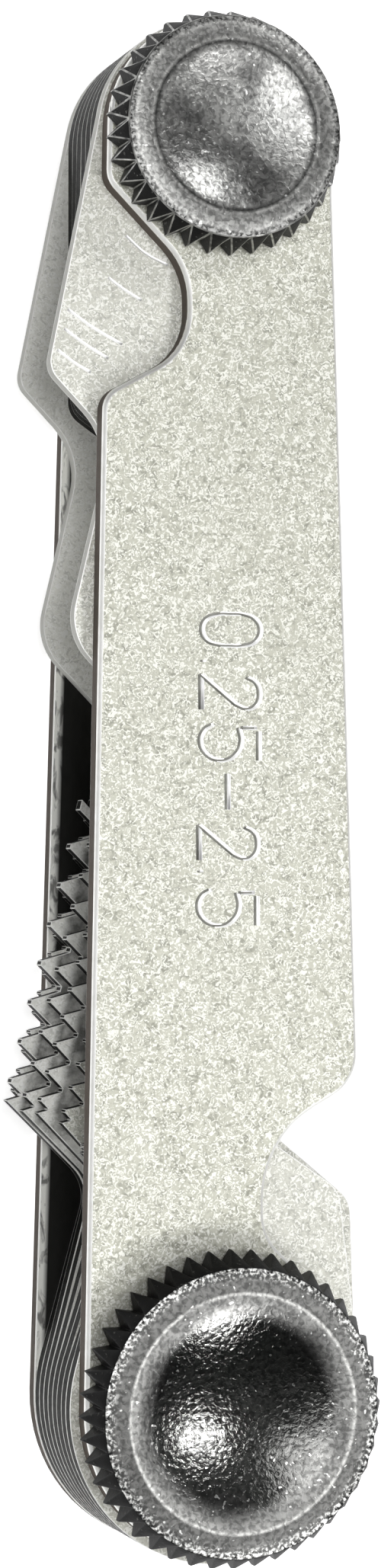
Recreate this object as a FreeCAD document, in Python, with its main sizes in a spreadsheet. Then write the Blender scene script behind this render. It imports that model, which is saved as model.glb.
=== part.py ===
"""Folding screw pitch gauge: a tapered two-plate case with a fan of toothed leaves at each end.

The part lies on its back plate. +Z points out of the front plate, towards the thumb screws,
+Y points to the small end, and the origin is on the rear face, midway between the two pivots.
Lengths are in millimetres and angles in degrees.
"""
import FreeCAD, Part
import math
import os

import Sketcher
from FreeCAD import Placement, Rotation, Vector

SIZES = {
    # case
    "pivot_distance": 77.9,
    "plate_thickness": 1.32,
    "front_radius_large": 9.1,
    "front_radius_small": 7.3,
    "back_radius_large": 9.72,
    "back_radius_small": 7.1,
    "edge_round": 0.35,
    # pivots
    "post_radius_large": 3.4,
    "post_radius_small": 2.8,
    "rivet_radius": 2.2,
    "shank_radius": 1.5,
    "shank_depth": 6.0,
    "running_gap": 0.05,
    # leaves
    "leaf_thickness": 0.9,
    "leaf_gap": 0.036,
    "crest_share": 0.125,
    "root_share": 0.125,
    # thumb screws
    "head_lift": 0.16,
    "head_height": 2.64,
    "chamfer_start": 0.5,
    "groove_runout": 2.42,
    "crest_width": 0.2,
    "head_radius_large": 9.64,
    "head_valley_large": 8.67,
    "head_radius_small": 7.6,
    "head_valley_small": 6.83,
    "dish_radius_large": 7.15,
    "dish_radius_small": 5.4,
    "dish_depth_large": 1.15,
    "dish_depth_small": 0.7,
}
KNURL_COUNTS = {"large_count": 44, "small_count": 33}

# thumb notch of each end: distances from its own pivot, along and across the case
NOTCHES = {
    "large": {
        "floor": 2.4,
        "near": 10.3,
        "far": 16.15,
        "lip_round": 3.0,
        "near_round": 3.0,
        "far_round": 6.3,
    },
    "small": {
        "floor": 2.2,
        "near": 8.4,
        "far": 13.4,
        "lip_round": 1.6,
        "near_round": 4.6,
        "far_round": 4.0,
    },
}
NOTCH_NEAR_SLOPE = 45.0
NOTCH_FAR_SLOPE = 28.5

# leaf outline of each end, in the leaf's own frame: pivot at 0, 0, blade along +Y, teeth on the -X side
LEAVES = {
    "large": {
        "head": 9.65,
        "back": -3.85,
        "tang_reach": 9.2,
        "tang_lean": 22.0,
        "tang_top": 14.4,
        "tang_slope": -0.35,
        "tang_round": 2.0,
        "root_round": 4.0,
        "tip": 34.0,
        "tip_slope": 0.62,
        "tip_round": 3.0,
        "neck": 10.9,
        "neck_slope": 0.58,
        "neck_round": 3.0,
    },
    "small": {
        "head": 7.5,
        "back": 1.9,
        "tang_reach": 7.5,
        "tang_lean": 1.9,
        "tang_top": 16.9,
        "tang_slope": -0.63,
        "tang_round": 1.5,
        "root_round": 4.5,
        "tip": 38.5,
        "tip_slope": 0.62,
        "tip_round": 3.6,
        "neck": 12.0,
        "neck_slope": 0.58,
        "neck_round": 0.5,
    },
}

# from the back plate forward: thread pitch, distance of the toothed edge from the pivot, lean when folded
STACKS = {
    "large": [
        (1.25, 16.0, 16.0),
        (2.5, 16.3, 14.9),
        (2.0, 15.5, 15.2),
        (1.75, 15.1, 16.4),
        (1.5, 14.1, 18.0),
        (1.0, 12.6, 18.0),
        (0.8, 12.6, 20.5),
        (0.75, 12.6, 15.5),
    ],
    "small": [
        (0.7, 8.0, 13.8),
        (0.6, 8.0, 2.2),
        (0.5, 8.0, 2.6),
        (0.45, 8.0, 3.4),
        (0.4, 8.0, 2.8),
        (0.35, 8.0, 3.2),
        (0.3, 8.0, 2.4),
        (0.25, 8.0, 13.8),
    ],
}
LAYERS = len(STACKS["large"])

# least plain length left at a blade's tip, in pitches, and how far two flanks may fill a short groove
SPARE_TIP = 0.6
GROOVE_FILL = 0.9

# closer than this, two points or levels count as one
TOLERANCE = 1e-4

doc = FreeCAD.newDocument("pitch_gauge")
sheet = doc.addObject("Spreadsheet::Sheet", "sizes")


def fill_sheet():
    """Write every driving size into the sheet, with its name as the alias."""
    rows = dict(SIZES)
    rows["layers"] = LAYERS
    for end in ("large", "small"):
        rows["pivot_along_" + end] = pivot_along(end)
        for name, value in {**NOTCHES[end], **LEAVES[end]}.items():
            rows[f"{name}_{end}_outline"] = value
        for layer, (pitch, edge, lean) in enumerate(STACKS[end]):
            rows[f"pitch_{end}_leaf{layer}_size"] = pitch
            rows[f"edge_{end}_leaf{layer}_size"] = edge
            rows[f"lean_{end}_leaf{layer}_size"] = lean
    for row, (name, value) in enumerate(rows.items(), start=1):
        sheet.set(f"A{row}", name)
        sheet.set(f"B{row}", str(value))
        sheet.setAlias(f"B{row}", name)
    doc.recompute()


def pivot_along(end):
    """Place of a pivot along the case: the large end is at -Y."""
    return SIZES["pivot_distance"] / 2 * {"large": -1, "small": 1}[end]


# ---------------------------------------------------------------- outlines


def fitted_reaches(corners):
    """How far each corner's rounding runs along its two sides, held to what the sides have room for."""
    count = len(corners)
    points = [Vector(x, y, 0) for x, y, radius in corners]
    halves = []
    reaches = []
    for index, (x, y, radius) in enumerate(corners):
        to_before = points[index - 1] - points[index]
        to_after = points[(index + 1) % count] - points[index]
        halves.append(to_before.getAngle(to_after) / 2)
        reaches.append(radius / math.tan(halves[index]))
    fitted = list(reaches)
    for index in range(count):
        side = (points[index] - points[index - 1]).Length
        both = reaches[index] + reaches[index - 1]
        if both > side:
            fitted[index] = min(fitted[index], reaches[index] * side / both)
            fitted[index - 1] = min(fitted[index - 1], reaches[index - 1] * side / both)
    return points, halves, fitted


def rounded_outline(corners):
    """Line segments and tangent arcs of a closed outline, from corners given as (x, y, radius)."""
    points, halves, reaches = fitted_reaches(corners)
    count = len(corners)
    joints = []
    for index, here in enumerate(points):
        to_before = (points[index - 1] - here).normalize()
        to_after = (points[(index + 1) % count] - here).normalize()
        reach = reaches[index]
        if reach == 0:
            joints.append((here, None, here))
            continue
        radius = reach * math.tan(halves[index])
        inward = (to_before + to_after).normalize()
        middle = here + inward * (radius / math.sin(halves[index]) - radius)
        joints.append((here + to_before * reach, middle, here + to_after * reach))
    edges = []
    for index, (start, middle, finish) in enumerate(joints):
        if middle is not None:
            edges.append(Part.Arc(start, middle, finish))
        following = joints[(index + 1) % count][0]
        if (following - finish).Length > TOLERANCE:
            edges.append(Part.LineSegment(finish, following))
    return edges


def plate_side(large, small):
    """Sine and cosine of the taper of a plate with these end radii."""
    sine = (large - small) / SIZES["pivot_distance"]
    return sine, math.sqrt(1 - sine * sine)


def plate_corners(large, small):
    """Outline of a plate, anticlockwise: two round ends, straight sides and a thumb notch at each end."""
    sine, cosine = plate_side(large, small)
    foot = large * (1 + sine) / cosine
    top = small * (1 - sine) / cosine
    low = pivot_along("large") - large
    high = pivot_along("small") + small
    corners = [(foot, low, large)] + notch_corners("large", large, small)
    corners += [(top, high, small), (-top, high, small)]
    return corners + notch_corners("small", large, small) + [(-foot, low, large)]


def notch_corners(end, large, small):
    """Corners of a thumb notch in the +X side of the large end; the small end's is turned half round."""
    notch = NOTCHES[end]
    sine, cosine = plate_side(large, small)
    if end == "small":
        sine = -sine
        large = small
    corners = []
    floor = notch["floor"]
    steps = ((notch["near"], -NOTCH_NEAR_SLOPE, "near_round"), (notch["far"], NOTCH_FAR_SLOPE, "far_round"))
    for along, slope_angle, name in steps:
        slope = math.tan(math.radians(slope_angle))
        side = (large - (along - slope * floor) * sine) / (cosine + slope * sine)
        lip = (side, along + slope * (side - floor), notch["lip_round"])
        wall = (floor, along, notch[name])
        corners += [lip, wall] if slope < 0 else [wall, lip]
    turn = {"large": 1, "small": -1}[end]
    shift = pivot_along(end)
    return [(turn * x, shift + turn * y, radius) for x, y, radius in corners]


def tooth_points(pitch, edge, low, high):
    """Corners of the sixty-degree teeth along a blade's edge, from its tip down to its shoulder."""
    half_crest = pitch * SIZES["crest_share"] / 2
    flank = (pitch - pitch * SIZES["root_share"]) / 2 - half_crest
    grooves = [(low, low + pitch / 2 - half_crest)]
    for tooth in range(int((high - low) / pitch - SPARE_TIP)):
        crest = low + (tooth + 0.5) * pitch
        grooves.append((crest + half_crest, crest + pitch - half_crest))
    points = [(-edge, high, 0)]
    for foot, top in reversed(grooves):
        reach = min(flank, GROOVE_FILL * (top - foot) / 2)
        depth = reach / math.tan(math.radians(30))
        points += [(-edge, top, 0), (-edge + depth, top - reach, 0)]
        points += [(-edge + depth, foot + reach, 0), (-edge, foot, 0)]
    return points


def leaf_corners(end, pitch, edge):
    """Outline of a leaf in its own frame, anticlockwise from the foot of its head."""
    leaf = LEAVES[end]
    head = leaf["head"]
    lean = math.radians(leaf["tang_lean"])
    foot = (leaf["tang_reach"] + head * math.sin(lean)) / math.cos(lean)
    tang = (leaf["tang_reach"] - leaf["tang_top"] * math.sin(lean)) / math.cos(lean)
    tang_root = leaf["tang_top"] + leaf["tang_slope"] * (leaf["back"] - tang)
    tip_back = leaf["tip"] - leaf["tip_slope"] * (leaf["back"] + edge)
    shoulder = leaf["neck"] + leaf["neck_slope"] * (edge - head)
    corners = [
        (foot, -head, leaf["tang_reach"]),
        (tang, leaf["tang_top"], leaf["tang_round"]),
        (leaf["back"], tang_root, leaf["root_round"]),
        (leaf["back"], tip_back, leaf["tip_round"]),
    ]
    corners += tooth_points(pitch, edge, shoulder, leaf["tip"])
    corners.append((-head, leaf["neck"], leaf["neck_round"]))
    corners.append((-head, -head, head))
    return corners


# ---------------------------------------------------------------- features


def new_body(label):
    """An empty PartDesign body with this label."""
    body = doc.addObject("PartDesign::Body", label)
    body.Label = label
    return body


def origin_plane(body, role):
    """One of the body's own origin planes."""
    return [plane for plane in body.Origin.OriginFeatures if plane.Role == role][0]


def new_sketch(body, name, edges, role="XY_Plane"):
    """A sketch of these edges on one of the body's origin planes."""
    sketch = body.newObject("Sketcher::SketchObject", body.Name + "_" + name)
    sketch.AttachmentSupport = [(origin_plane(body, role), "")]
    sketch.MapMode = "FlatFace"
    sketch.addGeometry(edges, False)
    return sketch


def round_sketch(body, name, cell, along=0.0):
    """A sketch of one circle whose radius follows a cell of the sheet."""
    centre = Vector(0, along, 0)
    sketch = new_sketch(body, name, [Part.Circle(centre, Vector(0, 0, 1), 1.0)])
    sketch.addConstraint(Sketcher.Constraint("Radius", 0, 1.0))
    sketch.setExpression("Constraints[0]", cell)
    return sketch


def pad(body, sketch, length, downward=False):
    """Raise a sketch by a length that follows the sheet."""
    feature = body.newObject("PartDesign::Pad", sketch.Name + "_pad")
    feature.Profile = sketch
    feature.Reversed = downward
    feature.setExpression("Length", length)
    doc.recompute()
    return feature


def pierce(body, sketch):
    """Cut a sketch right through the body, both ways."""
    feature = body.newObject("PartDesign::Pocket", sketch.Name + "_pocket")
    feature.Profile = sketch
    feature.Type = "ThroughAll"
    feature.Midplane = True
    doc.recompute()
    return feature


def turn_away(body, name, edges):
    """Cut a profile, drawn in the XZ plane, all round the Z axis."""
    sketch = new_sketch(body, name, edges, "XZ_Plane")
    feature = body.newObject("PartDesign::Groove", sketch.Name + "_groove")
    feature.Profile = sketch
    feature.ReferenceAxis = (sketch, ["V_Axis"])
    feature.Angle = 360
    doc.recompute()
    return feature


def closed_profile(points):
    """Straight edges through these points and back to the first."""
    corners = [Vector(x, y, 0) for x, y in points]
    return [Part.LineSegment(a, b) for a, b in zip(corners, corners[1:] + corners[:1])]


# ---------------------------------------------------------------- sub-parts


def make_plate(label, radii, corners, rise, rounded_face):
    """A case plate: tapered outline, two pivot holes, and a rounded edge on its outer face."""
    body = new_body(label)
    pad(body, new_sketch(body, "outline", rounded_outline(corners)), "sizes.plate_thickness")
    for end in ("large", "small"):
        pierce(body, round_sketch(body, "hole_" + end, radii, pivot_along(end)))
    level = {"top": SIZES["plate_thickness"], "bottom": 0.0}[rounded_face]
    reach = SIZES["rivet_radius"] * 2
    outer = []
    for index, edge in enumerate(body.Shape.Edges, start=1):
        box = edge.BoundBox
        flat = abs(box.ZMin - level) < TOLERANCE and abs(box.ZMax - level) < TOLERANCE
        hole = edge.Curve.TypeId == "Part::GeomCircle" and edge.Curve.Radius < reach and edge.isClosed()
        if flat and not hole:
            outer.append(f"Edge{index}")
    pierced = body.Tip
    fillet = body.newObject("PartDesign::Fillet", label + "_edge")
    fillet.Base = (pierced, outer)
    fillet.setExpression("Radius", "sizes.edge_round")
    body.setExpression(".Placement.Base.z", rise)
    doc.recompute()
    return body


def make_back_plate():
    """The rear plate; its pivot holes hold the riveted feet of the posts."""
    corners = plate_corners(SIZES["back_radius_large"], SIZES["back_radius_small"])
    return make_plate("back_plate", "sizes.rivet_radius", corners, "0", "bottom")


def make_front_plate():
    """The front plate; the shanks of the thumb screws pass through its holes."""
    corners = plate_corners(SIZES["front_radius_large"], SIZES["front_radius_small"])
    rise = "sizes.plate_thickness + sizes.layers * (sizes.leaf_thickness + sizes.leaf_gap)"
    return make_plate("front_plate", "sizes.shank_radius + sizes.running_gap", corners, rise, "top")


def make_cylinder(name, radius, height, rise, along):
    """An upright cylinder whose sizes follow the sheet."""
    cylinder = doc.addObject("Part::Cylinder", name)
    cylinder.setExpression("Radius", radius)
    cylinder.setExpression("Height", height)
    cylinder.setExpression(".Placement.Base.y", along)
    cylinder.setExpression(".Placement.Base.z", rise)
    return cylinder


def make_post(end):
    """A pivot post: it spaces the plates, carries the leaves, and its foot is riveted in the back plate."""
    gap = "sizes.layers * (sizes.leaf_thickness + sizes.leaf_gap)"
    floor = "sizes.plate_thickness"
    along = "sizes.pivot_along_" + end
    label = "pivot_post_" + end
    barrel = make_cylinder(label + "_barrel", "sizes.post_radius_" + end, gap, floor, along)
    foot = make_cylinder(label + "_foot", "sizes.rivet_radius", floor, "0", along)
    whole = doc.addObject("Part::Fuse", label + "_whole")
    whole.Base = barrel
    whole.Tool = foot
    bore = make_cylinder(label + "_bore", "sizes.shank_radius + sizes.running_gap", gap, floor, along)
    post = doc.addObject("Part::Cut", label)
    post.Base = whole
    post.Tool = bore
    post.Label = label
    doc.recompute()
    return post


def make_leaf(end, layer):
    """One toothed leaf, folded into the case, in its layer between the plates."""
    pitch, edge, lean = STACKS[end][layer]
    label = "leaf_" + f"{pitch:.2f}".replace(".", "_")
    body = new_body(label)
    outline = new_sketch(body, "outline", rounded_outline(leaf_corners(end, pitch, edge)))
    pad(body, outline, "sizes.leaf_thickness")
    pierce(body, round_sketch(body, "eye", f"sizes.post_radius_{end} + sizes.running_gap"))
    turn = {"large": 0, "small": 180}[end] - lean
    body.Placement = Placement(Vector(0, pivot_along(end), 0), Rotation(Vector(0, 0, 1), turn))
    step = f"{layer} * (sizes.leaf_thickness + sizes.leaf_gap)"
    body.setExpression(".Placement.Base.z", f"sizes.plate_thickness + sizes.leaf_gap / 2 + {step}")
    doc.recompute()
    return body


def make_thumb_screw(end):
    """A thumb screw: knurled head with a coned rim and a dish, and a plain shank that runs into the post."""
    label = "thumb_screw_" + end
    tip = SIZES["head_radius_" + end]
    valley = SIZES["head_valley_" + end]
    height = SIZES["head_height"]
    body = new_body(label)

    teeth = round(KNURL_COUNTS[end + "_count"])
    star = []
    for tooth in range(teeth):
        for share, radius in ((0.0, tip), (0.5, valley)):
            angle = 2 * math.pi * (tooth + share) / teeth
            star.append((radius * math.cos(angle), radius * math.sin(angle)))
    pad(body, new_sketch(body, "knurl", closed_profile(star)), "sizes.head_height")

    dish = SIZES["dish_radius_" + end]
    spare = 0.5
    start = SIZES["chamfer_start"]
    slope = (SIZES["groove_runout"] - start) / (tip - valley)
    outside = tip + spare
    chamfer = [
        (outside, start - spare * slope),
        (valley, SIZES["groove_runout"]),
        (dish + SIZES["crest_width"], height),
        (dish + SIZES["crest_width"], height + spare),
        (outside, height + spare),
    ]
    turn_away(body, "chamfer", closed_profile(chamfer))

    depth = SIZES["dish_depth_" + end]
    sphere = (dish * dish + depth * depth) / (2 * depth)
    half = math.asin(dish / sphere) / 2
    floor = Vector(0, height - depth, 0)
    middle = Vector(sphere * math.sin(half), height - depth + sphere * (1 - math.cos(half)), 0)
    rim = Vector(dish, height, 0)
    above = Vector(dish, height + spare, 0)
    axis_top = Vector(0, height + spare, 0)
    bowl = [Part.Arc(floor, middle, rim), Part.LineSegment(rim, above)]
    bowl += [Part.LineSegment(above, axis_top), Part.LineSegment(axis_top, floor)]
    turn_away(body, "dish", bowl)

    shank_length = "sizes.head_lift + sizes.plate_thickness + sizes.shank_depth"
    pad(body, round_sketch(body, "shank", "sizes.shank_radius"), shank_length, downward=True)
    body.setExpression(".Placement.Base.y", "sizes.pivot_along_" + end)
    gap = "sizes.layers * (sizes.leaf_thickness + sizes.leaf_gap)"
    body.setExpression(".Placement.Base.z", f"2 * sizes.plate_thickness + {gap} + sizes.head_lift")
    doc.recompute()
    return body


def build():
    """Every sub-part of the gauge."""
    nodes = [make_back_plate(), make_front_plate()]
    for end in ("large", "small"):
        nodes.append(make_post(end))
        nodes.append(make_thumb_screw(end))
        nodes += [make_leaf(end, layer) for layer in range(LAYERS)]
    return nodes


def export(nodes):
    """Check every object, then write one STEP file for each sub-part."""
    for item in doc.Objects:
        if "Invalid" in item.State or "Error" in item.State:
            raise RuntimeError(f"{item.Name} did not compute: {item.State}")
    os.makedirs("parts", exist_ok=True)
    for node in nodes:
        shape = node.Shape
        if shape.isNull() or not shape.isValid() or len(shape.Solids) != 1:
            raise RuntimeError(f"{node.Label} is not one valid solid")
        shape.exportStep(f"parts/{node.Label}.step")


fill_sheet()
export(build())
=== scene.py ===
"""Looks of the folding screw pitch gauge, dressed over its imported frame. Lengths are in metres."""
import math

import bpy
from mathutils import Matrix, Vector


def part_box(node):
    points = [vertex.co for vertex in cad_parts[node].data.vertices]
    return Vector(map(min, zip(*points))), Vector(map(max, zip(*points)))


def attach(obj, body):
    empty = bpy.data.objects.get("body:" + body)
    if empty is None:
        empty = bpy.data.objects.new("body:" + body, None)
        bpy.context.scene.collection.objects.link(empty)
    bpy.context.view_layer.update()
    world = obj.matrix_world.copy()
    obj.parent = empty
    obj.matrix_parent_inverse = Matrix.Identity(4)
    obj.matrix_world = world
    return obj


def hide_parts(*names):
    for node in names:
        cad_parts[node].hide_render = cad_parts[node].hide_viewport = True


MM = 0.001

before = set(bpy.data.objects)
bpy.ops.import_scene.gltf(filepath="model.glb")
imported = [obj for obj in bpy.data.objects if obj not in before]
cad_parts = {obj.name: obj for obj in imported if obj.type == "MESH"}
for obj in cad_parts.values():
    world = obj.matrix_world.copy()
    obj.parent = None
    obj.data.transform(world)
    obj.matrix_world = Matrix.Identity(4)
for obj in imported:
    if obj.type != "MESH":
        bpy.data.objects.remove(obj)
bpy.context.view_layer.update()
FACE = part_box("front_plate")[1][2]


# ---------------------------------------------------------------- camera


def add_camera():
    """A long lens, a little to the left of the gauge and square to its length."""
    tilt = math.radians(-2.64)
    turn = math.radians(18.91)
    roll = math.radians(-0.57)
    distance = 207.92 * MM
    aside = Vector((-2.12 * MM, 1.51 * MM, distance))
    facing = Matrix.Rotation(-tilt, 4, "X") @ Matrix.Rotation(-turn, 4, "Y") @ Matrix.Rotation(-roll, 4, "Z")
    camera = bpy.data.objects.new("camera", bpy.data.cameras.new("camera"))
    bpy.context.scene.collection.objects.link(camera)
    camera.matrix_world = Matrix.Translation(facing @ aside + Vector((0, 0, FACE))) @ facing
    camera.data.sensor_fit = "VERTICAL"
    camera.data.sensor_height = 36
    camera.data.lens = 78.02
    camera.data.shift_y = -0.0272
    camera.data.clip_start = 0.01
    bpy.context.scene.camera = camera


# ---------------------------------------------------------------- pattern fields


def coordinates(tree, centre=(0, 0, 0), stretch=(1, 1, 1), turn=0.0):
    """The object's own coordinates, measured from a centre, then turned and stretched."""
    source = tree.nodes.new("ShaderNodeTexCoord")
    shift = tree.nodes.new("ShaderNodeMapping")
    shift.inputs["Location"].default_value = [-part for part in centre]
    shape = tree.nodes.new("ShaderNodeMapping")
    shape.inputs["Rotation"].default_value = (0, 0, turn)
    shape.inputs["Scale"].default_value = stretch
    tree.links.new(source.outputs["Object"], shift.inputs["Vector"])
    tree.links.new(shift.outputs["Vector"], shape.inputs["Vector"])
    return shape.outputs["Vector"]


def noise(tree, size, detail=3.0, stretch=(1, 1, 1), turn=0.0, warp=0.0):
    """Noise with blotches of this size."""
    field = tree.nodes.new("ShaderNodeTexNoise")
    field.inputs["Scale"].default_value = 1 / size
    field.inputs["Detail"].default_value = detail
    field.inputs["Distortion"].default_value = warp
    tree.links.new(coordinates(tree, (0, 0, 0), stretch, turn), field.inputs["Vector"])
    return field.outputs["Fac"]


def ranged(tree, value, low, high, start=0.3, end=0.7):
    """The field stretched from start..end to low..high."""
    spread = tree.nodes.new("ShaderNodeMapRange")
    spread.inputs["From Min"].default_value = start
    spread.inputs["From Max"].default_value = end
    spread.inputs["To Min"].default_value = low
    spread.inputs["To Max"].default_value = high
    tree.links.new(value, spread.inputs["Value"])
    return spread.outputs["Result"]


def times(tree, first, second):
    """Two fields multiplied."""
    product = tree.nodes.new("ShaderNodeMath")
    product.operation = "MULTIPLY"
    tree.links.new(first, product.inputs[0])
    tree.links.new(second, product.inputs[1])
    return product.outputs["Value"]


def blended(tree, share, first, second):
    """From the first colour to the second by a share; each is a fixed colour or a field."""
    mix = tree.nodes.new("ShaderNodeMix")
    mix.data_type = "RGBA"
    tree.links.new(share, mix.inputs["Factor"])
    for socket, colour in ((mix.inputs[6], first), (mix.inputs[7], second)):
        if isinstance(colour, tuple):
            socket.default_value = (*colour, 1)
        else:
            tree.links.new(colour, socket)
    return mix.outputs[2]


def flatness(tree):
    """One on faces that lie level, nought on upright walls."""
    source = tree.nodes.new("ShaderNodeTexCoord")
    parts = tree.nodes.new("ShaderNodeSeparateXYZ")
    size = tree.nodes.new("ShaderNodeMath")
    size.operation = "ABSOLUTE"
    tree.links.new(source.outputs["Normal"], parts.inputs["Vector"])
    tree.links.new(parts.outputs["Z"], size.inputs[0])
    return ranged(tree, size.outputs["Value"], 0.0, 1.0, 0.25, 0.6)


def along(tree, centre, turn=0.0, axis="X"):
    """Distance in millimetres from a centre, along an axis turned by this angle."""
    parts = tree.nodes.new("ShaderNodeSeparateXYZ")
    tree.links.new(coordinates(tree, centre, (1 / MM, 1 / MM, 1 / MM), turn), parts.inputs["Vector"])
    return parts.outputs[axis]


def banded(tree, value, stops):
    """Colours laid out at distances from nought to ten millimetres."""
    ramp = tree.nodes.new("ShaderNodeValToRGB")
    bands = ramp.color_ramp.elements
    while len(bands) < len(stops):
        bands.new(0.5)
    for band, (place, shade) in zip(bands, stops):
        band.position = place / 10
        band.color = (shade, shade, shade * 0.97, 1)
    tree.links.new(ranged(tree, value, 0.0, 1.0, 0.0, 10.0), ramp.inputs["Fac"])
    return ramp.outputs["Color"]


def reach_from(tree, centre):
    """Distance from an upright axis, in millimetres."""
    flat = coordinates(tree, centre, (1 / MM, 1 / MM, 0))
    length = tree.nodes.new("ShaderNodeVectorMath")
    length.operation = "LENGTH"
    tree.links.new(flat, length.inputs[0])
    return length.outputs["Value"]


# ---------------------------------------------------------------- finishes


# half width of the back plate at the large end, and the lean of its left edge
BACK_RADIUS = 9.72 * MM
BACK_TAPER = math.radians(1.93)
# the way from the large pivot in which the painted shadow of the large thumb screw lies
KNOB_SHADOW_TURN = math.radians(-127)
PIVOTS = {"large": (0, -38.95 * MM, 0), "small": (0, 38.95 * MM, 0)}


def new_finish(name, colour, metallic, roughness):
    """A material with its even values set; returns it with its node tree and shader."""
    finish = bpy.data.materials.new(name)
    finish.use_nodes = True
    tree = finish.node_tree
    shader = tree.nodes["Principled BSDF"]
    shader.inputs["Base Color"].default_value = (*colour, 1)
    shader.inputs["Metallic"].default_value = metallic
    shader.inputs["Roughness"].default_value = roughness
    return finish, tree, shader


def set_colour(tree, shader, colour):
    tree.links.new(colour, shader.inputs["Base Color"])


def set_roughness(tree, shader, field):
    tree.links.new(field, shader.inputs["Roughness"])


def roughen(tree, shader, height, strength, distance):
    """Bump the shader with a height field."""
    bump = tree.nodes.new("ShaderNodeBump")
    bump.inputs["Strength"].default_value = strength
    bump.inputs["Distance"].default_value = distance
    tree.links.new(height, bump.inputs["Height"])
    tree.links.new(bump.outputs["Normal"], shader.inputs["Normal"])


def etched_steel(name, pale, middle, dark, wall, roughness, metal, knob_shadow=False, root_shade=None):
    """Steel with a fine frosted face, flecked light and dark, and sheared walls of one tone.

    A knob shadow is a painted shadow of the large thumb screw, darkening the plate beside it.
    Shade along tooth roots, painted where the leaves above shade them, is given as a centre, a turn
    and the distances where it starts, lies thick, thins and ends.
    """
    finish, tree, shader = new_finish(name, middle, metal, roughness)
    fleck = noise(tree, 0.58 * MM, 3.0, (1, 1, 1), 0.0, 1.8)
    grain = noise(tree, 0.31 * MM, 2.5, (1, 1, 1), 0.0, 2.0)
    cloud = noise(tree, 6 * MM, 2.0)
    face = blended(tree, ranged(tree, fleck, 0.0, 1.0, 0.34, 0.52), dark, middle)
    face = blended(tree, ranged(tree, grain, 0.0, 1.0, 0.5, 0.58), face, pale)
    face = blended(tree, ranged(tree, cloud, 0.0, 0.2), face, middle)
    if knob_shadow:
        # painted shadow: the plate darkened in a ring beside the large thumb screw, on one side of it
        reach = reach_from(tree, PIVOTS["large"])
        side = along(tree, PIVOTS["large"], KNOB_SHADOW_TURN)
        near = ranged(tree, reach, 1.0, 0.0, 9.2, 11.6)
        shadowed = times(tree, near, ranged(tree, side, 0.0, 0.5, 2.0, 8.5))
        face = blended(tree, shadowed, face, (0.03, 0.03, 0.028))
    if root_shade:
        # painted shade along the tooth roots, darkest a little behind the tips and broken by noise
        centre, turn, start, thick, thin, end = root_shade
        depth = along(tree, centre, turn)
        thickens = ranged(tree, depth, 0.0, 0.8, start, thick)
        shade_share = times(tree, thickens, ranged(tree, depth, 1.0, 0.0, thin, end))
        broken = ranged(tree, noise(tree, 0.9 * MM, 4.0), 0.45, 1.0, 0.35, 0.6)
        shade_share = times(tree, shade_share, broken)
        face = blended(tree, shade_share, face, (0.03, 0.029, 0.026))
    level = flatness(tree)
    set_colour(tree, shader, blended(tree, level, wall, face))
    set_roughness(tree, shader, ranged(tree, fleck, roughness + 0.08, roughness - 0.06))
    tree.links.new(ranged(tree, level, 0.0, metal, 0.0, 1.0), shader.inputs["Metallic"])
    shader.inputs["Specular IOR Level"].default_value = 0.08
    roughen(tree, shader, grain, 0.35, 0.02 * MM)
    return finish


def mottled_steel(name, bright, dull, roughness, metal):
    """Metal mottled between two tones, for edge wear with painted highlight, scratches, and painted figure
    lines.
    """
    finish, tree, shader = new_finish(name, bright, metal, roughness)
    pale_share = noise(tree, 0.7 * MM, 3.0)
    set_colour(tree, shader, blended(tree, ranged(tree, pale_share, 0.0, 1.0), dull, bright))
    roughen(tree, shader, noise(tree, 0.1 * MM, 2.0), 0.2, 0.01 * MM)
    return finish


def turned_steel(name, pale, dark, roughness):
    """Plain turned steel with fine rings of tool marks."""
    finish, tree, shader = new_finish(name, pale, 1.0, roughness)
    rings = noise(tree, 0.2 * MM, 2.0, (0.1, 0.1, 1.0))
    set_colour(tree, shader, blended(tree, ranged(tree, rings, 0.0, 1.0), dark, pale))
    roughen(tree, shader, rings, 0.3, 0.01 * MM)
    return finish


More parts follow.
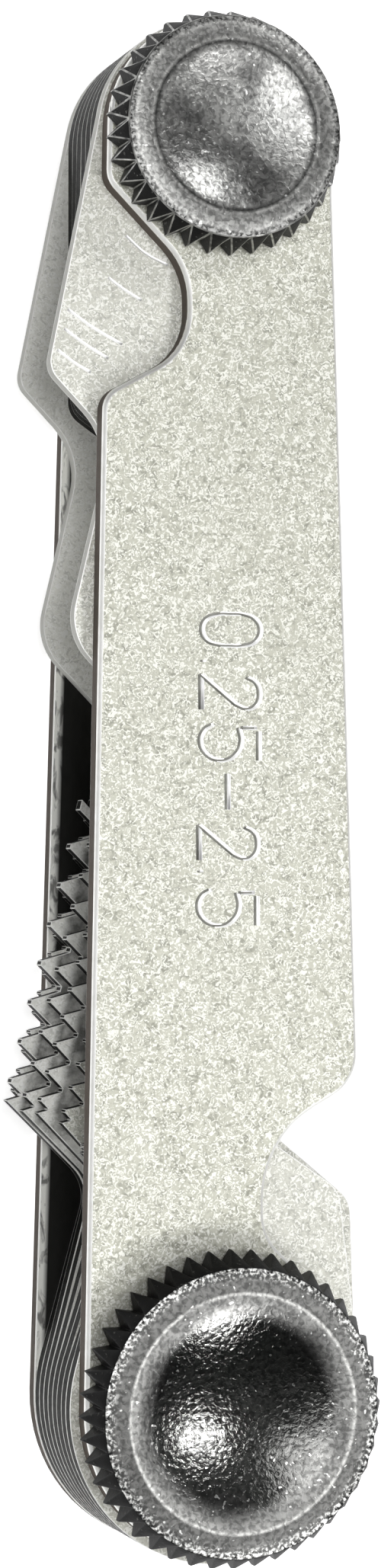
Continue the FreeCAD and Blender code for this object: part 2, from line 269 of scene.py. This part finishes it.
def plating_and_reflections(name, centre, bands, dish_blotches, rim_reach, glint, roughness):
    """Plating of a dished knob: mottled rings toned by distance, partly wear and partly painted
    reflections of the turned rings, dark blotches in the dish, a pitted rim with painted glints, and
    painted white sparkles.

    Bands are tones at their distances from the centre, partly wear and partly painted reflections.
    Dish blotches are given by their size, the distance at which they end and their strength.
    Roughness is that of the dish and of the ring.
    """
    finish, tree, shader = new_finish(name, (0.3, 0.3, 0.29), 1.0, roughness[0])
    reach = reach_from(tree, centre)
    mottle = noise(tree, 0.3 * MM, 4.0, (1, 1, 1), 0.0, 0.6)
    # tones by distance from the centre: partly plating wear, partly painted reflections of the turned rings
    dull = banded(tree, reach, [(place, shade * 0.45) for place, shade in bands])
    surface = blended(tree, ranged(tree, mottle, 0.0, 1.0, 0.38, 0.6), dull, banded(tree, reach, bands))

    size, end, strength = dish_blotches
    blotch = ranged(tree, noise(tree, size, 1.0), strength, 0.0, 0.34, 0.48)
    inside = ranged(tree, reach, 1.0, 0.0, end - 0.5, end)
    surface = blended(tree, times(tree, blotch, inside), surface, (0.03, 0.03, 0.03))

    # painted glints: pale flecks on the pitted rim
    pits = noise(tree, 0.22 * MM, 2.0)
    outside = ranged(tree, reach, 0.0, 1.0, rim_reach - 0.6, rim_reach)
    rim = times(tree, outside, ranged(tree, mottle, 0.4, 1.0, 0.3, 0.5))
    glints = times(tree, ranged(tree, pits, 0.0, 1.0, 0.53, 0.58), rim)
    holes = times(tree, ranged(tree, pits, 1.0, 0.0, 0.42, 0.48), rim)
    surface = blended(tree, holes, surface, (0.02, 0.02, 0.02))
    surface = blended(tree, glints, surface, (glint, glint, glint * 0.98))
    # painted sparkle highlights: near-white flecks over the knob
    sparkle_specks = ranged(tree, noise(tree, 0.35 * MM, 1.0), 0.0, 0.8, 0.7, 0.74)
    surface = blended(tree, sparkle_specks, surface, (0.95, 0.95, 0.93))
    set_colour(tree, shader, surface)
    set_roughness(tree, shader, ranged(tree, reach, roughness[0], roughness[1], 5.4, 6.4))
    roughen(tree, shader, mottle, 0.6, 0.04 * MM)
    return finish


def knurl_shade(name, colour, edge, roughness):
    """Cuts of a knurl painted near black as shade, with a little bare metal showing."""
    finish, tree, shader = new_finish(name, colour, 0.0, roughness)
    wear = noise(tree, 0.25 * MM, 3.0)
    set_colour(tree, shader, blended(tree, ranged(tree, wear, 0.0, 1.0, 0.64, 0.78), colour, edge))
    shader.inputs["Specular IOR Level"].default_value = 0.1
    roughen(tree, shader, wear, 0.5, 0.03 * MM)
    return finish


def lining_shade(name, colour, edge_highlight, wall):
    """The inner face of the back plate, painted near black as shade, with a painted highlight along its left
    edge.
    """
    finish, tree, shader = new_finish(name, colour, 0.3, 0.45)
    shader.inputs["Specular IOR Level"].default_value = 0.2
    # painted highlight: a pale line along the left edge of the inner face
    edge = along(tree, (-BACK_RADIUS, PIVOTS["large"][1], 0), BACK_TAPER)
    fleck = noise(tree, 0.5 * MM, 4.0, (1, 0.4, 1), 0.0, 0.8)
    pale_share = times(tree, ranged(tree, edge, 1.0, 0.0, 0.35, 0.65), ranged(tree, fleck, 0.25, 1.0, 0.36, 0.5))
    face = blended(tree, pale_share, blended(tree, fleck, colour, (0.02, 0.02, 0.018)), edge_highlight)
    set_colour(tree, shader, blended(tree, flatness(tree), wall, face))
    roughen(tree, shader, fleck, 0.4, 0.02 * MM)
    return finish


# tones of a steel face: its pale flecks, its middle and its dark flecks
PLATE_TONES = ((1.0, 1.0, 0.94), (0.63, 0.63, 0.545), (0.4, 0.4, 0.34))
# painted shade: the underside of the front plate, the same steel in much darker tones
INSIDE_SHADE_TONES = ((0.2, 0.19, 0.17), (0.1, 0.1, 0.09), (0.05, 0.05, 0.045))
LEAF_TONES = ((1.0, 1.0, 0.95), (0.7, 0.7, 0.63), (0.5, 0.5, 0.45))
# painted light: a paler, less metallic copy of the leaf steel, for leaves that lie in shade in the stack
BRIGHTENED_TONES = ((1.0, 1.0, 0.97), (0.9, 0.9, 0.85), (0.68, 0.68, 0.64))
# sheared walls of the leaves: painted near black as shade, or bare on the outermost leaves of the small end
SHADED_WALL = (0.01, 0.01, 0.009)
BARE_WALL = (0.7, 0.7, 0.66)
LEAF_ROUGHNESS = 0.5
LEAF_METAL = 0.45
BRIGHTENED_METAL = 0.2

INSIDE_SHADE = etched_steel("plate_inside_shade", *INSIDE_SHADE_TONES, (0.03, 0.025, 0.02), 0.3, 1.0)
# the inner face of the back plate: painted shade, with a painted highlight along its left edge
LINING_SHADE = lining_shade("lining_shade", (0.008, 0.008, 0.007), (0.95, 0.95, 0.9), (0.14, 0.12, 0.1))
# the plate face carries a painted shadow beside the large thumb screw
PLATE = etched_steel("plate_face", *PLATE_TONES, (0.12, 0.1, 0.085), 0.55, 0.7, knob_shadow=True)
LEAF = etched_steel("leaf_face", *LEAF_TONES, SHADED_WALL, LEAF_ROUGHNESS, LEAF_METAL)

# leaves with painted shade along their tooth roots, where the leaves above shade them: the toothed
# edge's distance from the pivot in millimetres, and its lean in degrees
SHADED_ROOTS = {
    "leaf_1_25": (16.0, 16.0),
    "leaf_2_50": (16.3, 14.9),
    "leaf_2_00": (15.5, 15.2),
    "leaf_1_75": (15.1, 16.4),
}
# distances behind the tips, in millimetres, at which the painted shade starts, lies thick, thins and ends
ROOT_SHADE_REACH = (0.7, 1.2, 1.9, 3.2)


def leaf_face(node, tones, wall, metal, root_shade=None):
    """The finish of one leaf that differs from the rest."""
    return etched_steel(node + "_face", *tones, wall, LEAF_ROUGHNESS, metal, root_shade=root_shade)


LEAF_FACES = {
    "leaf_0_70": leaf_face("leaf_0_70", BRIGHTENED_TONES, BARE_WALL, BRIGHTENED_METAL),
    "leaf_0_25": leaf_face("leaf_0_25", LEAF_TONES, BARE_WALL, LEAF_METAL),
}
for node, (edge, lean) in SHADED_ROOTS.items():
    roots = (PIVOTS["large"], math.radians(lean), *(reach - edge for reach in ROOT_SHADE_REACH))
    LEAF_FACES[node] = leaf_face(node, BRIGHTENED_TONES, SHADED_WALL, BRIGHTENED_METAL, roots)

# bright edge bands: rubbed wear and painted highlight; the sheltered one is less metallic, to show bright in
# shade
EDGE = mottled_steel("rubbed_edge_and_highlight", (1.0, 1.0, 0.98), (0.9, 0.9, 0.87), 0.5, 0.75)
SHELTERED_EDGE_HIGHLIGHT = mottled_steel("sheltered_edge_highlight", (1.0, 1.0, 0.98), (0.8, 0.8, 0.76), 0.5, 0.2)
# the groove finish is painted shade beside the figures; the bright finish is bare metal in the scratches and
# a painted highlight in the figures
GROOVE_SHADE = mottled_steel("painted_groove_shade", (0.3, 0.3, 0.27), (0.16, 0.16, 0.14), 0.5, 0.5)
SCRATCH_AND_HIGHLIGHT = mottled_steel("scratch_and_highlight", (1.0, 1.0, 1.0), (1.0, 1.0, 0.98), 0.5, 0.75)
THIN_EDGE = mottled_steel("thin_edge", (0.5, 0.5, 0.48), (0.04, 0.04, 0.04), 0.35, 0.8)
POST = turned_steel("post_turned", (0.5, 0.5, 0.5), (0.35, 0.35, 0.35), 0.35)
KNOBS = {
    "large": plating_and_reflections(
        "large_knob",
        PIVOTS["large"],
        [(0, 0.15), (5.4, 0.15), (6.15, 0.3), (7.0, 0.4), (7.15, 0.8), (7.3, 0.22), (8.2, 0.24), (8.6, 0.45)],
        (2.6 * MM, 7.2, 0.3),
        8.5,
        1.0,
        (0.11, 0.42),
    ),
    "small": plating_and_reflections(
        "small_knob",
        PIVOTS["small"],
        [(0, 0.62), (4.9, 0.5), (5.2, 0.12), (5.4, 0.7), (5.55, 0.36), (6.2, 0.42), (6.4, 0.7), (6.55, 0.36)],
        (2.8 * MM, 5.4, 0.6),
        6.75,
        0.5,
        (0.3, 0.45),
    ),
}
KNURLS = {
    "large": knurl_shade("large_knurl", (0.006, 0.006, 0.006), (0.12, 0.12, 0.11), 0.45),
    "small": knurl_shade("small_knurl", (0.006, 0.006, 0.006), (0.2, 0.2, 0.19), 0.45),
}


# ---------------------------------------------------------------- tools

# vertices nearer than this are one in a CAD mesh, and in a mesh that has been rounded and cut
CAD_WELD = 0.002 * MM
FINE_WELD = 0.0005 * MM


def pick_only(piece):
    """Make this the one selected and active object."""
    bpy.ops.object.select_all(action="DESELECT")
    piece.select_set(True)
    bpy.context.view_layer.objects.active = piece


def apply_all(piece):
    """Apply every modifier to the piece's mesh."""
    pick_only(piece)
    for modifier in list(piece.modifiers):
        bpy.ops.object.modifier_apply(modifier=modifier.name)


def joined_copy(node, name, *finishes):
    """A copy of a CAD node's mesh with its loose triangles joined into whole faces."""
    piece = bpy.data.objects.new(name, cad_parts[node].data.copy())
    bpy.context.scene.collection.objects.link(piece)
    piece.data.materials.clear()
    for finish in finishes:
        piece.data.materials.append(finish)
    pick_only(piece)
    bpy.ops.object.mode_set(mode="EDIT")
    bpy.ops.mesh.select_all(action="SELECT")
    bpy.ops.mesh.remove_doubles(threshold=CAD_WELD)
    bpy.ops.mesh.dissolve_limited(angle_limit=math.radians(0.5))
    bpy.ops.object.mode_set(mode="OBJECT")
    return piece


def round_edges(piece, width, slot=0, angle=30, profile=0.5):
    """Round the sharp edges; the new faces take the finish in this slot.

    A profile of one keeps the edge sharp and only marks off a band on each side of it.
    """
    bevel = piece.modifiers.new("rounding", "BEVEL")
    bevel.width = width
    bevel.segments = 2
    bevel.profile = profile
    bevel.limit_method = "ANGLE"
    bevel.angle_limit = math.radians(angle)
    bevel.material = slot
    apply_all(piece)


def finish_rims(piece, slot, low=0.15, high=0.97):
    """Give this finish to the faces that lean between level and upright."""
    for face in piece.data.polygons:
        if low < abs(face.normal.z) < high:
            face.material_index = slot


def smooth_faces(piece, angle=35):
    """Clear away faces with no area and fill what they leave, then shade smooth, keeping flat faces flat."""
    pick_only(piece)
    bpy.ops.object.mode_set(mode="EDIT")
    bpy.ops.mesh.select_all(action="SELECT")
    bpy.ops.mesh.remove_doubles(threshold=FINE_WELD)
    bpy.ops.mesh.dissolve_degenerate(threshold=FINE_WELD)
    bpy.ops.mesh.delete_loose()
    bpy.ops.mesh.select_all(action="SELECT")
    bpy.ops.mesh.fill_holes(sides=6)
    bpy.ops.object.mode_set(mode="OBJECT")
    bpy.ops.object.shade_smooth_by_angle(angle=math.radians(angle))
    even = piece.modifiers.new("even", "WEIGHTED_NORMAL")
    even.keep_sharp = True
    even.weight = 100
    apply_all(piece)


def scribe(piece, name, lines, radius, height, finish, aside=0.0):
    """Sink thin lines at this height.

    Each line is a row of (x, y) in millimetres and whether it is closed; aside moves them all in x.
    """
    curve = bpy.data.curves.new(name, "CURVE")
    curve.dimensions = "3D"
    curve.bevel_depth = radius
    curve.bevel_resolution = 3
    curve.resolution_u = 6
    curve.use_fill_caps = True
    for points, closed in lines:
        spline = curve.splines.new("BEZIER")
        spline.bezier_points.add(len(points) - 1)
        for knot, (x, y) in zip(spline.bezier_points, points):
            knot.co = ((x + aside) * MM, y * MM, height)
            knot.handle_left_type = knot.handle_right_type = "AUTO" if len(points) > 2 else "VECTOR"
        spline.use_cyclic_u = closed
    cutter = bpy.data.objects.new(name, curve)
    bpy.context.scene.collection.objects.link(cutter)
    pick_only(cutter)
    bpy.ops.object.convert(target="MESH")
    cutter.data.materials.append(finish)
    cut = piece.modifiers.new(name, "BOOLEAN")
    cut.operation = "DIFFERENCE"
    cut.solver = "EXACT"
    cut.material_mode = "TRANSFER"
    cut.use_self = True
    cut.object = cutter
    apply_all(piece)
    bpy.data.objects.remove(cutter)


def stand_in(piece, node, body):
    """Show the piece in place of its CAD node."""
    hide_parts(node)
    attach(piece, body)


# ---------------------------------------------------------------- plates

# rounding that just breaks an edge, and the radius of the round-nosed line of a figure or scratch
BREAK = 0.03 * MM
LINE_RADIUS = 0.24 * MM

# strokes of each figure in millimetres, from its middle and its foot; a stroke is closed or open
FIGURES = {
    "0": [
        (
            [(0, 3.8), (0.65, 3.5), (0.95, 2.7), (0.98, 1.9), (0.95, 1.1), (0.65, 0.3)]
            + [(0, 0), (-0.65, 0.3), (-0.95, 1.1), (-0.98, 1.9), (-0.95, 2.7), (-0.65, 3.5)],
            True,
        )
    ],
    "2": [
        ([(-0.95, 3.0), (-0.6, 3.6), (0, 3.8), (0.7, 3.6), (0.97, 3.0), (0.75, 2.3)], False),
        ([(0.75, 2.3), (-1.1, 0)], False),
        ([(-1.1, 0), (1.05, 0)], False),
    ],
    "5": [
        ([(1.0, 3.8), (-0.8, 3.8)], False),
        ([(-1.0, 3.6), (-1.0, 2.7)], False),
        (
            [(-1.0, 2.5), (-0.2, 2.65), (0.6, 2.3), (1.0, 1.4)]
            + [(0.65, 0.4), (-0.2, 0), (-0.9, 0.3), (-1.2, 0.8)],
            False,
        ),
    ],
    "-": [([(-1.1, 1.8), (1.1, 1.8)], False)],
    ".": [([(-0.06, 0.1), (0.06, 0.1)], False)],
}
# each figure and its place along the plate, in millimetres
PITCH_RANGE = (
    ("0", 8.37),
    (".", 6.42),
    ("2", 4.5),
    ("5", 1.35),
    ("-", -1.57),
    ("2", -4.7),
    (".", -6.44),
    ("5", -8.75),
)


def range_lines():
    """Every stroke of the pitch range, read down the plate with its head to the right."""
    lines = []
    for figure, place in PITCH_RANGE:
        for stroke, closed in FIGURES[figure]:
            points = [(-1.6 + up + 0.02 * place, place - aside) for aside, up in stroke]
            lines.append((points, closed))
    return lines


def make_back_cover():
    """The back plate, with bright edges of wear and painted highlight, and an inner face painted near black
    as shade.
    """
    piece = joined_copy("back_plate", "back_cover", PLATE, EDGE, LINING_SHADE)
    finish_rims(piece, 1)
    for face in piece.data.polygons:
        if face.normal.z > 0.97:
            face.material_index = 2
    round_edges(piece, 0.08 * MM, 1, 40)
    smooth_faces(piece)
    stand_in(piece, "back_plate", "case")


def make_front_cover():
    """The front plate, with a bright band of wear and painted highlight round its outline and the pitch range
    sunk in its face.
    """
    piece = joined_copy("front_plate", "front_cover", PLATE, EDGE, INSIDE_SHADE)
    finish_rims(piece, 1)
    # the underside takes the painted shade of the inside
    for face in piece.data.polygons:
        if face.normal.z < -0.97:
            face.material_index = 2
    # a bright band of wear and painted highlight round the outline, marked off without rounding
    round_edges(piece, 0.17 * MM, 1, 40, 1.0)
    round_edges(piece, BREAK, 1, 40)
    # the figures: sunk lines with a painted highlight, and to their left a thinner line of painted shade
    scribe(piece, "pitch_range", range_lines(), LINE_RADIUS, FACE + 0.19 * MM, SCRATCH_AND_HIGHLIGHT, 0.06)
    scribe(piece, "range_shade", range_lines(), 0.14 * MM, FACE + 0.09 * MM, GROOVE_SHADE, -0.12)
    smooth_faces(piece)
    stand_in(piece, "front_plate", "case")


# ---------------------------------------------------------------- leaves

# handling scratches on the tang of the front leaf of the small end, as rows of (x, y) in millimetres
TANG_SCRATCHES = [
    ([(-10.22, 25.36), (-9.2, 24.65), (-8.1, 24.06)], False),
    ([(-9.77, 26.67), (-8.4, 25.75), (-6.97, 24.97)], False),
    ([(-9.55, 27.87), (-7.9, 26.8), (-6.07, 25.88)], False),
    ([(-6.95, 29.95), (-5.9, 29.25), (-4.81, 28.66)], False),
    ([(-5.81, 32.62), (-4.57, 31.6), (-3.09, 30.92)], False),
]
# leaves whose edges lie open to wear and get wider bands of wear and painted highlight, and those that lie
# right under the front plate
OPEN_LEAVES = ("leaf_1_50", "leaf_0_75", "leaf_0_80")
TOP_LEAVES = ("leaf_0_25", "leaf_0_75")
# width of the bright band of wear and painted highlight along an edge that lies open, and along one that is
# sheltered
WEAR_AND_HIGHLIGHT_BAND = 0.15 * MM
NARROW_BAND = 0.05 * MM
# an edge is sharp past this turn, in radians, and stands upright if it runs aside by less than this
SHARP_TURN = 0.43
UPRIGHT = 0.01 * MM


def weigh_edges(piece, pitch, width):
    """Mark the sharp edges for rounding to this width, less on the teeth, so that their crests stay."""
    mesh = piece.data
    sides = {}
    for face in mesh.polygons:
        for key in face.edge_keys:
            sides.setdefault(key, []).append(face.normal)
    pairs = [sides[edge.key] for edge in mesh.edges]
    sharp = [len(pair) == 2 and pair[0].angle(pair[1]) > SHARP_TURN for pair in pairs]
    ends = {edge.key: [mesh.vertices[index].co for index in edge.key] for edge in mesh.edges}
    corners = set()
    for edge, cut in zip(mesh.edges, sharp):
        low, high = ends[edge.key]
        if cut and (high - low).to_2d().length < UPRIGHT:
            corners.update(edge.key)
    weights = mesh.attributes.new("bevel_weight_edge", "FLOAT", "EDGE")
    for edge, cut in zip(mesh.edges, sharp):
        low, high = ends[edge.key]
        tooth = corners.issuperset(edge.key) and (high - low).length < 1.6 * pitch * MM
        fine = tooth or (high - low).to_2d().length < UPRIGHT
        share = min(1.0, 0.06 * pitch * MM / width) if fine else 1.0
        weights.data[edge.index].value = share if cut else 0.0


def make_blade(node):
    """A leaf with its outline rounded and its teeth just broken, finer on the finer pitches."""
    pitch = float(node[5:].replace("_", "."))
    wear_and_highlight = EDGE if node in TOP_LEAVES else SHELTERED_EDGE_HIGHLIGHT
    piece = joined_copy(node, node + "_blade", LEAF_FACES.get(node, LEAF), wear_and_highlight)
    width = WEAR_AND_HIGHLIGHT_BAND if node in LEAF_FACES or node in OPEN_LEAVES else NARROW_BAND
    weigh_edges(piece, pitch, width)
    bevel = piece.modifiers.new("rounding", "BEVEL")
    bevel.width = width
    bevel.segments = 2
    bevel.profile = 1.0
    bevel.limit_method = "WEIGHT"
    bevel.material = 1
    apply_all(piece)
    round_edges(piece, min(BREAK, BREAK * pitch), 1, 40)
    if node == "leaf_0_25":
        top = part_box(node)[1][2]
        scribe(piece, "scratches", TANG_SCRATCHES, LINE_RADIUS, top + 0.21 * MM, SCRATCH_AND_HIGHLIGHT)
    smooth_faces(piece)
    stand_in(piece, node, node + "_swinging")


# ---------------------------------------------------------------- knobs


def make_knob(end, valley, ridge):
    """A knurled knob: dark cuts outside the valley's distance, plated ring and dish.

    The rounded edges take the finish in the slot of the ridge, or that of their neighbours for -1.
    """
    piece = joined_copy("thumb_screw_" + end, "knob_" + end, KNOBS[end], KNURLS[end], THIN_EDGE)
    centre = Vector(PIVOTS[end]).to_2d()
    for face in piece.data.polygons:
        reach = (face.center.to_2d() - centre).length
        if reach > valley or (abs(face.normal.z) < 0.5 and face.center.z > FACE):
            face.material_index = 1
    round_edges(piece, 0.07 * MM, ridge, 20)
    smooth_faces(piece, 30)
    stand_in(piece, "thumb_screw_" + end, f"thumb_screw_{end}_turning")


# ---------------------------------------------------------------- studio


# soft rectangular lamps: name, place, the point each is turned to, size in metres, power in watts
LAMPS = (
    ("overhead", (0.17, 0, 0.47), (0.02, 0, 0), (0.34, 0.7), 0.12),
    ("key", (0.235, -0.36, 0.36), (0, -0.04, 0.01), (0.1, 0.1), 0.95),
    ("window", (0.21, -0.06, 0.36), (0, -0.02, 0.01), (0.022, 0.08), 0.22),
    ("far_window", (0.237, 0.284, 0.305), (0, 0.04, 0.01), (0.08, 0.08), 0.3),
    ("skylight", (-0.029, 0.049, 0.42), (0, -0.039, 0.01), (0.15, 0.22), 0.42),
    ("low_strip", (-0.22, -0.45, 0.3), (0, 0, 0.01), (0.5, 0.2), 0.45),
    ("left_strip", (-0.3, 0, 0.4), (0, 0, 0.01), (0.2, 0.6), 0.55),
)


def add_lamp(name, place, aim, size, power):
    """A soft rectangular lamp turned to a point."""
    lamp = bpy.data.lights.new(name, "AREA")
    lamp.energy = power
    lamp.shape = "RECTANGLE"
    lamp.size, lamp.size_y = size
    light = bpy.data.objects.new(name, lamp)
    bpy.context.scene.collection.objects.link(light)
    light.location = place
    light.rotation_euler = (Vector(aim) - Vector(place)).to_track_quat("-Z", "Y").to_euler()


def add_floor():
    """A pale matt floor just under the gauge, that keeps its shadow and turns even white further out."""
    bpy.ops.mesh.primitive_plane_add(size=60, location=(0, 0, -0.02 * MM))
    floor = bpy.context.object
    floor.name = "floor"
    finish, tree, shader = new_finish("floor_paper", (0.9, 0.9, 0.9), 0.0, 0.9)
    path = tree.nodes.new("ShaderNodeLightPath")
    seen = tree.nodes.new("ShaderNodeMath")
    seen.operation = "MAXIMUM"
    tree.links.new(path.outputs["Is Camera Ray"], seen.inputs[0])
    tree.links.new(path.outputs["Is Glossy Ray"], seen.inputs[1])
    white = ranged(tree, reach_from(tree, (0, 0, 0)), 0.62, 1.0, 200, 700)
    lift = times(tree, seen.outputs["Value"], white)
    shader.inputs["Emission Color"].default_value = (1, 1, 1, 1)
    tree.links.new(lift, shader.inputs["Emission Strength"])
    floor.data.materials.append(finish)


def add_world():
    """Dim even light all round."""
    world = bpy.data.worlds.new("studio")
    bpy.context.scene.world = world
    world.use_nodes = True
    sky = world.node_tree.nodes["Background"]
    sky.inputs["Color"].default_value = (1, 1, 1, 1)
    sky.inputs["Strength"].default_value = 0.07


# ---------------------------------------------------------------- the gauge

add_camera()
make_back_cover()
make_front_cover()
for node in sorted(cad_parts):
    if node.startswith("leaf_"):
        make_blade(node)
make_knob("large", valley=8.62 * MM, ridge=-1)
make_knob("small", valley=6.78 * MM, ridge=2)
for end in PIVOTS:
    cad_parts["pivot_post_" + end].data.materials[0] = POST

add_floor()
add_world()
for lamp in LAMPS:
    add_lamp(*lamp)
bpy.context.scene.view_settings.view_transform = "Standard"
